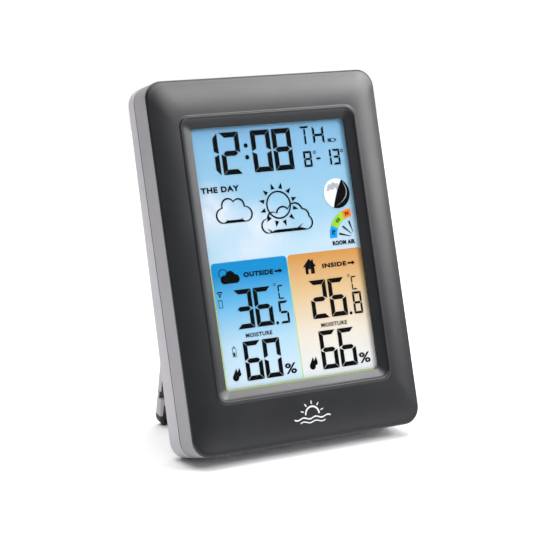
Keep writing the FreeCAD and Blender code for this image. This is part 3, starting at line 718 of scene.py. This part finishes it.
outdoor_lobes = [(-26.2, -5.5, 1.6), (-23.8, -4.4, 1.9), (-21.8, -5.5, 1.6)]
outdoor = [cloud_line((-24.0, -5.0), outdoor_lobes, -7.0, 2.2, 2.2)[0]]
outdoor += [hoop(-26.6, -3.4, 1.75, 0.25), arrow(-5.8, -2.6, -4.5)]
for radius in (0.9, 1.7):
    outer = round_spot(-29.0, -11.3, radius + 0.2, 8, math.radians(50), math.radians(130))
    inner = round_spot(-29.0, -11.3, radius - 0.2, 8, math.radians(50), math.radians(130))
    outdoor.append(outer + inner[::-1])
outdoor += [round_spot(-29.0, -11.2, 0.32), frame_line(-29.9, -28.3, -15.2, -12.4, 0.2)]
outdoor += figure_row([("3", -23.5, -16.5), ("6", -15.7, -8.6)], *heat_row, room_stroke, room_cut)
outdoor += [round_spot(-7.4, -22.9, 0.6)] + figure("5", -6.1, -2.2, *tenth_row, tenth_stroke, small_cut)
outdoor += [hoop(-6.6, -9.2, 0.5, 0.16)] + figure("C", -5.5, -3.2, *unit_row, 0.5, small_cut)
outdoor += figure_row([("6", -22.6, -15.6), ("0", -14.8, -7.8)], *damp_row, room_stroke, room_cut)
outdoor += [frame_line(-27.1, -25.5, -32.8, -29.6, 0.14), corners(-26.6, -26.0, -29.5, -29.1),
            corners(-26.8, -26.1, -32.5, -31.2)]
outdoor += [drop(-27.0, -40.0, 1.25, 3.2, 0.5), drop(-25.6, -38.9, 0.85, 2.2, 0.4)]
mark_piece("outdoor_figures", outdoor,
           [("OUTSIDE", -18.5, -6.4, -5.4, -3.6, 0.05), ("MOISTURE", -20.9, -10.1, *word_row, 0.032),
            ("%", -6.9, -2.2, *sign_row, 0.022)])

indoor = [[(6.0, -4.4), (8.9, -1.5), (9.9, -2.5), (9.9, -1.9), (10.6, -1.9), (10.6, -3.2), (11.7, -4.4)],
          corners(7.0, 8.2, -7.0, -4.4), corners(9.2, 10.8, -7.0, -4.4), corners(8.2, 9.2, -5.3, -4.4)]
indoor += [arrow(25.0, 28.2, -4.7)]
indoor += figure_row([("2", 7.5, 14.5), ("6", 15.4, 22.4)], *heat_row, room_stroke, room_cut)
indoor += [round_spot(23.6, -22.9, 0.6)] + figure("8", 25.1, 28.9, *tenth_row, tenth_stroke, small_cut)
indoor += [hoop(24.6, -9.2, 0.5, 0.16)] + figure("C", 25.5, 27.8, *unit_row, 0.5, small_cut)
indoor += figure_row([("6", 8.7, 15.7), ("6", 16.6, 23.6)], *damp_row, room_stroke, room_cut)
indoor += [drop(4.5, -40.0, 1.25, 3.2, 0.5), drop(5.9, -38.9, 0.85, 2.2, 0.4)]
mark_piece("indoor_figures", indoor,
           [("INSIDE", 14.2, 24.5, -5.5, -3.8, 0.05), ("MOISTURE", 10.3, 21.3, *word_row, 0.032),
            ("%", 24.4, 29.1, *sign_row, 0.022)])

# ---- Emblem below the window ----
# A plain weather sign in white pad print: half a sun with rays over two waves.  It follows the
# bezel's dome, a hair above its surface.
bezel_made = bmesh.new()
bezel_made.from_mesh(bezel.data)
bezel_tree = BVHTree.FromBMesh(bezel_made)


def on_dome(x, y, z):
    """Point on the bezel's front at x, z of the face, y mm behind the print's surface."""
    hit = bezel_tree.ray_cast(on_face(x, -20, z), face_back)
    return hit[0] + face_back * ((y - 0.05) * MM)


def printed_strip(left, right, height, thick, steps=24):
    """A band along a rule for its height, in short cells that follow the dome."""
    cells = []
    for i in range(steps):
        x0, x1 = (left + (right - left) * k / steps for k in (i, i + 1))
        cells.append([(x0, height(x0) - thick / 2), (x1, height(x1) - thick / 2),
                      (x1, height(x1) + thick / 2), (x0, height(x0) + thick / 2)])
    return cells


sign_x, sign_z = 1.0, -56.3
emblem = []
for half_width, below, swell, thick in ((7.5, 1.6, 0.35, 0.5), (5.2, 3.0, 0.3, 0.42)):
    emblem += printed_strip(sign_x - half_width, sign_x + half_width,
                            lambda x: sign_z - below + swell * math.sin((x - sign_x) * 1.25), thick)
for i in range(20):
    a, b = math.pi * i / 20, math.pi * (i + 1) / 20
    emblem.append([(sign_x + r * math.cos(t), sign_z - 0.4 + r * math.sin(t))
                   for r, t in ((2.5, a), (3.1, a), (3.1, b), (2.5, b))])
for i in range(5):
    turn = math.pi * (i + 0.5) / 5
    ray = (math.cos(turn), math.sin(turn))
    emblem.append(stroke_line((sign_x + 3.7 * ray[0], sign_z - 0.4 + 3.7 * ray[1]),
                              (sign_x + 4.9 * ray[0], sign_z - 0.4 + 4.9 * ray[1]), 0.5, 0.3))
flat_piece("emblem_print", emblem, 0.0, 0.04, ink("white pad print", tone(214, 214, 218), 0.45),
           (), on_dome)
bezel_made.free()

# ---- Front and rear cases ----
# Two shells in silver-grey satin plastic, screwed together from the back.  A fine joint runs round the side,
# with a dark strip set in it as painted shadow for the groove.  The rear shell's plastic is the same grey
# painted lighter for the light it catches, and the shell has pockets for stand and door.


def softened(node, width, segments=2, angle=30):
    """A copy of a CAD node's mesh with its doubles merged and its sharp edges rounded, in mm."""
    made = bmesh.new()
    made.from_mesh(frame["nodes"][node].data)
    bmesh.ops.remove_doubles(made, verts=made.verts, dist=0.002 * MM)
    bmesh.ops.dissolve_limit(made, angle_limit=math.radians(0.6), verts=made.verts, edges=made.edges)
    if width > 0:
        sharp = [e for e in made.edges if len(e.link_faces) == 2
                 and e.calc_face_angle(0) > math.radians(angle)]
        bmesh.ops.bevel(made, geom=sharp, offset=width * MM, segments=segments, profile=0.5,
                        affect="EDGES", clamp_overlap=True)
    bmesh.ops.triangulate(made, faces=[f for f in made.faces if len(f.verts) > 4])
    mesh = bpy.data.meshes.new(node + "_soft")
    made.to_mesh(mesh)
    made.free()
    return mesh


joint_gap = 0.5
front_mesh = softened("front_case", 0)
parting = max(v.co.dot(face_back) for v in front_mesh.vertices)
for vertex in front_mesh.vertices:
    if vertex.co.dot(face_back) > parting - 0.05 * MM:
        vertex.co -= face_back * (joint_gap * MM)
band_plastic = moulded_plastic("silver grey plastic", tone(148, 146, 151), 0.5)
# The rear shell's plastic is the band's grey painted lighter: painted light for the brighter light its side
# catches. The door and the stand share it.
rear_plastic_painted_lighter = moulded_plastic("silver grey plastic painted lighter", tone(184, 181, 186), 0.5)
dress("front_band", front_mesh, band_plastic, "station", ("front_case",))
# The dark strip in the joint is painted shadow: a black ring that stands in for the shade deep in the groove,
# where the tongue is light plastic.
joint_shadow_plastic = moulded_plastic("painted joint shadow", tone(34, 34, 36), 0.7)
joint_back = (parting - seat_depth) / MM - 0.01
joint_inset, joint_wall = 0.16, 0.64     # of the dark strip's outer side from the bezel's, and its thickness
joint_shadow_rings = [rounded_ring(outline_w - 2 * inset, outline_h - 2 * inset, outline_r - inset, depth, 0)
               for inset, depth in ((joint_inset, joint_back - joint_gap), (joint_inset, joint_back),
                                    (joint_inset + joint_wall, joint_back),
                                    (joint_inset + joint_wall, joint_back - joint_gap))]
joint_shadow_points = [p for ring in joint_shadow_rings for p in ring]
mesh_piece("joint_shadow_strip", joint_shadow_points, ring_faces(joint_shadow_rings, True), joint_shadow_plastic, "station")
dress("rear_shell", softened("rear_case", 0.2), rear_plastic_painted_lighter, "station", ("rear_case",))

# ---- Light guide, reflector and frame ----
# The backlight: a clear acrylic plate lit from below by a strip of lamps, with a white sheet behind
# it, all held in a white moulded frame with the rubber connector along its top.
white_plastic = moulded_plastic("white moulded plastic", tone(232, 231, 226), 0.5)
finish(clear_sheet("light guide acrylic", (0.9, 0.95, 0.97), 0.35, 0.1), "light_guide")
finish(moulded_plastic("white reflector", tone(245, 245, 243), 0.7, 0.004), "reflector_sheet")
finish(white_plastic, "lcd_frame", "climate_sensor")
elastomer = mottled("banded elastomer", (tone(70, 70, 70), tone(190, 188, 184)), 0.7, 900, 0.02, 3000)
finish(elastomer, "zebra_connector")

# ---- Circuit boards and their parts ----
# Glass-fibre boards with green solder mask over copper tracks.  Tinned cans, black moulded packages
# and small steel screws sit on them.


def solder_mask(name):
    """Green lacquer with paler tracks showing through."""
    made, nodes, links, shader = new_material(name)
    where = face_measure(nodes, links, 0)
    tracks = nodes.new("ShaderNodeTexBrick")
    tracks.inputs["Scale"].default_value = 0.35
    tracks.inputs["Mortar Size"].default_value = 0.03
    tracks.inputs["Color1"].default_value = tone(18, 84, 48) + [1]
    tracks.inputs["Color2"].default_value = tone(24, 92, 52) + [1]
    tracks.inputs["Mortar"].default_value = tone(62, 138, 84) + [1]
    turned = nodes.new("ShaderNodeMapping")
    turned.inputs["Rotation"].default_value = (math.radians(90), 0, 0)
    links.new(where, turned.inputs["Vector"])
    links.new(turned.outputs["Vector"], tracks.inputs["Vector"])
    links.new(tracks.outputs["Color"], shader.inputs["Base Color"])
    uneven_gloss(nodes, links, shader, noise(nodes, links, where, 3), 0.2, 0.4)
    raised(nodes, links, shader, tracks.outputs["Fac"], 0.3, 0.03)
    return made


black_moulding = moulded_plastic("black moulded package", tone(28, 28, 30), 0.45)
tinned = mottled("tinned metal", (tone(186, 188, 190), tone(206, 206, 204)), 0.3, 200, 0.01, 2500, 1.0)
steel = mottled("plated steel", (tone(150, 150, 154), tone(184, 184, 188)), 0.35, 300, 0.01, 4000, 1.0)
copper = mottled("enamelled copper", (tone(168, 92, 48), tone(196, 118, 66)), 0.3, 500, 0.01, 5000, 1.0)
finish(solder_mask("solder mask"), "main_board", "receiver_board", "sensor_board", "led_strip")
finish(black_moulding, "processor_cap", "tact_switches", "light_switch", "piezo_buzzer")
finish(tinned, "clock_crystal", "receiver_can", "contact_plates")
finish(steel, "board_screws", "case_screws")
finish(copper, "antenna_coil")

# ---- Dry cells ----
# Three cells in the bay behind the door.  Each has a printed sleeve with a broad band at one end
# and bare metal at both ends, and every second one is turned round.
cell_half_length = 22.3


def sleeve(node, turned_round):
    """Printed sleeve: dark body, metallic band near the tip, bare ends."""
    made, nodes, links, shader = new_material("cell sleeve " + node)
    place = nodes.new("ShaderNodeTexCoord").outputs["Object"]
    centre = (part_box(node)[0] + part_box(node)[1]) / 2
    turn = face_lean + (math.pi if turned_round else 0)
    along = measured(nodes, links, place, centre, turn, (MM, MM, MM))
    stops = [(0.0, tone(190, 190, 188)), (0.012, tone(30, 34, 44)), (0.62, tone(204, 164, 74)),
             (0.66, tone(184, 108, 52)), (0.955, tone(190, 190, 188))]
    share = share_along(nodes, links, along, -cell_half_length, cell_half_length)
    bands = colour_run(nodes, links, share, stops)
    bands.color_ramp.interpolation = "CONSTANT"
    links.new(bands.outputs["Color"], shader.inputs["Base Color"])
    uneven_gloss(nodes, links, shader, noise(nodes, links, along, 0.6), 0.22, 0.4)
    shader.inputs["Metallic"].default_value = 0.6
    return made


for number in (1, 2, 3):
    finish(sleeve("battery_%d" % number, number == 2), "battery_%d" % number)

# ---- Contact springs ----
# Conical coils of plated wire at the flat end of each cell, wide where they are riveted to the
# contact plate and narrow where they press on the cell.
wire = 0.35 * MM
coil_tree = bpy.data.node_groups.new("contact spring", "GeometryNodeTree")
coil_tree.interface.new_socket("Geometry", in_out="OUTPUT", socket_type="NodeSocketGeometry")
coil_inputs = {}
for name, kind, value in (("Turns", "NodeSocketFloat", 4.5), ("Wide", "NodeSocketFloat", 3.4 * MM),
                          ("Narrow", "NodeSocketFloat", 2.2 * MM), ("Height", "NodeSocketFloat", 4.2 * MM),
                          ("Wire", "NodeSocketFloat", wire), ("Steel", "NodeSocketMaterial", None)):
    coil_inputs[name] = (coil_tree.interface.new_socket(name, in_out="INPUT", socket_type=kind), value)
given = coil_tree.nodes.new("NodeGroupInput")
handed = coil_tree.nodes.new("NodeGroupOutput")
spiral = coil_tree.nodes.new("GeometryNodeCurveSpiral")
spiral.inputs["Resolution"].default_value = 28
section = coil_tree.nodes.new("GeometryNodeCurvePrimitiveCircle")
section.inputs["Resolution"].default_value = 8
tube = coil_tree.nodes.new("GeometryNodeCurveToMesh")
tube.inputs["Fill Caps"].default_value = True
whole = coil_tree.nodes.new("GeometryNodeRealizeInstances")
painted = coil_tree.nodes.new("GeometryNodeSetMaterial")
links = coil_tree.links
links.new(given.outputs["Turns"], spiral.inputs["Rotations"])
links.new(given.outputs["Wide"], spiral.inputs["Start Radius"])
links.new(given.outputs["Narrow"], spiral.inputs["End Radius"])
links.new(given.outputs["Height"], spiral.inputs["Height"])
links.new(given.outputs["Wire"], section.inputs["Radius"])
links.new(spiral.outputs["Curve"], tube.inputs["Curve"])
links.new(section.outputs["Curve"], tube.inputs["Profile Curve"])
links.new(tube.outputs["Mesh"], whole.inputs["Geometry"])
links.new(whole.outputs["Geometry"], painted.inputs["Geometry"])
links.new(given.outputs["Steel"], painted.inputs["Material"])
links.new(painted.outputs["Geometry"], handed.inputs["Geometry"])


def grown(name, tree, settings):
    """The plain mesh that a Geometry Nodes tree gives with these named inputs."""
    holder = bpy.data.objects.new(name, bpy.data.meshes.new(name + "_start"))
    bpy.context.scene.collection.objects.link(holder)
    maker = holder.modifiers.new("made", "NODES")
    maker.node_group = tree
    for socket, value in settings.values():
        maker[socket.identifier] = value
    made = bpy.data.meshes.new_from_object(holder.evaluated_get(bpy.context.evaluated_depsgraph_get()))
    holder.modifiers.remove(maker)
    bpy.data.objects.remove(holder)
    return made


coil_inputs["Steel"] = (coil_inputs["Steel"][0], steel)
coil = grown("coil", coil_tree, coil_inputs)
spring_points, spring_faces = [], []
for number in (1, 2, 3):
    low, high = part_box("battery_%d" % number)
    centre = (low + high) / 2
    half = Vector((0, centre.y, centre.z)).dot(face_up)
    ends = [v.co.dot(face_up) for v in frame["nodes"]["battery_%d" % number].data.vertices]
    upwards = 1 if number != 2 else -1
    flat_end = min(ends) if upwards > 0 else max(ends)
    base = centre + face_up * (flat_end - half - upwards * 4.6 * MM)
    base.x = centre.x
    start = len(spring_points)
    for v in coil.vertices:
        spring_points.append(base + across * v.co.x + face_back * v.co.y + face_up * (upwards * v.co.z))
    spring_faces += [tuple(start + i for i in face.vertices) for face in coil.polygons]
mesh_piece("spring_coils", spring_points, spring_faces, steel, "station", ("contact_springs",))
bpy.data.meshes.remove(coil)

# ---- Battery door ----
# A flat panel in the rear shell's plastic, with grip grooves near its latch.  It drops into a ledge
# round the cell bay and lifts straight off.
dress("door_panel", softened("battery_door", 0.18), rear_plastic_painted_lighter, "battery_door",
      ("battery_door",))

# ---- Buttons ----
# Five small caps across the back in dark grey plastic, and one long cap on the top edge in the
# grey of the case.  Each sits over its own switch.
button_plastic = moulded_plastic("dark button plastic", tone(72, 72, 76), 0.45)
for name in ("set_button", "up_button", "down_button", "channel_button", "unit_button"):
    dress(name.replace("button", "cap"), softened(name, 0.25), button_plastic, name, (name,))
light_plastic = moulded_plastic("light button plastic", tone(160, 158, 163), 0.45)
dress("light_cap", softened("light_button", 0.2), light_plastic, "light_button",
      ("light_button",))

# ---- Stand ----
# A folding frame in the rear shell's plastic: two channel legs and a cross bar, with a dark sheet laid in its
# tray as painted shade.  It turns on trunnions in the rear shell and ends in a dark rubber foot.
rubber = moulded_plastic("soft black rubber", tone(46, 46, 48), 0.6, 0.03)
dress("stand_frame", softened("stand", 0.15), rear_plastic_painted_lighter, "stand", ("stand",))
foot_middle = (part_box("stand_foot")[0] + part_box("stand_foot")[1]) / 2
stand_low, stand_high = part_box("stand")
stand_down = Vector((0, foot_middle.y - stand_low.y, foot_middle.z - stand_high.z)).normalized()
tray_faces_to = across.cross(stand_down)
if tray_faces_to.dot(off_back) > 0:
    tray_faces_to = -tray_faces_to
# The tray's dark sheet is painted shade: it stands in for the shadow that falls between the body and the
# stand.
stand_mesh = frame["nodes"]["stand"].data
rim = max(v.co.dot(tray_faces_to) for v in stand_mesh.vertices)
tray_shade_points, tray_shade_faces = [], []
for face in stand_mesh.polygons:
    if face.normal.dot(tray_faces_to) < 0.95 or face.center.dot(tray_faces_to) > rim - 1.0 * MM:
        continue
    start, count = len(tray_shade_points), len(face.vertices)
    spots = [stand_mesh.vertices[i].co for i in face.vertices]
    tray_shade_points += [p - face.normal * (0.02 * MM) for p in spots]
    tray_shade_points += [p + face.normal * (0.1 * MM) for p in spots]
    tray_shade_faces.append(tuple(range(start + count - 1, start - 1, -1)))
    tray_shade_faces.append(tuple(range(start + count, start + 2 * count)))
    for i in range(count):
        j = (i + 1) % count
        tray_shade_faces.append((start + i, start + j, start + count + j, start + count + i))
tray_shade_plastic = moulded_plastic("painted tray shade", tone(74, 74, 78), 0.7)
mesh_piece("stand_tray_shade", tray_shade_points, tray_shade_faces, tray_shade_plastic, "stand",
           smooth=False)
dress("stand_grip", softened("stand_foot", 0.2), rubber, "stand", ("stand_foot",))

# ---- Rubber pads ----
# Two soft black pads under the bottom edge of the rear shell, cut to follow it and flat below.
# They carry the unit together with the stand's foot.
dress("left_pad", softened("left_foot_pad", 0.1), rubber, "station", ("left_foot_pad",))
dress("right_pad", softened("right_foot_pad", 0.1), rubber, "station", ("right_foot_pad",))

# ---- Floor and light ----
# A plain pale floor and wide soft lamps: one high on the right, one tall beside it, one overhead.
# A white backdrop fills in from all round.
floor_mesh = bpy.data.meshes.new("floor")
floor_half = 0.8
floor_mesh.from_pydata([(x * floor_half, y * floor_half, 0) for x, y in ((-1, -1), (1, -1), (1, 1), (-1, 1))],
                       [], [(0, 1, 2, 3)])
floor = bpy.data.objects.new("floor", floor_mesh)
bpy.context.scene.collection.objects.link(floor)
floor_mesh.materials.append(mottled("pale floor", ((0.9, 0.9, 0.9), (0.92, 0.92, 0.92)), 0.9, 5, 0.01, 200))


def soft_lamp(name, place, size, power):
    lamp_data = bpy.data.lights.new(name, "AREA")
    lamp_data.shape = "RECTANGLE"
    lamp_data.size, lamp_data.size_y = size
    lamp_data.energy = power
    lamp = bpy.data.objects.new(name, lamp_data)
    bpy.context.scene.collection.objects.link(lamp)
    lamp.location = place
    lamp.rotation_mode = "QUATERNION"
    lamp.rotation_quaternion = (face_middle - Vector(place)).to_track_quat("-Z", "Y")
    return lamp


soft_lamp("key", (0.70, -0.80, 0.89), (0.8, 0.4), 9)
soft_lamp("overhead", (0.0, 0.2, 1.6), (2.2, 2.2), 52)
soft_lamp("right_strip", (0.97, -0.78, 0.62), (0.35, 0.6), 7)
world = bpy.data.worlds.new("studio")
world.use_nodes = True
# The backdrop is seen white, but lights the unit at about a fifth of that, so the lamps shape it.
backdrop = world.node_tree.nodes["Background"]
seen = world.node_tree.nodes.new("ShaderNodeLightPath")
level = world.node_tree.nodes.new("ShaderNodeMapRange")
level.inputs["To Min"].default_value = 0.22
level.inputs["To Max"].default_value = 1.0
world.node_tree.links.new(seen.outputs["Is Camera Ray"], level.inputs["Value"])
world.node_tree.links.new(level.outputs["Result"], backdrop.inputs["Strength"])
backdrop.inputs["Color"].default_value = (1, 1, 1, 1)
bpy.context.scene.world = world
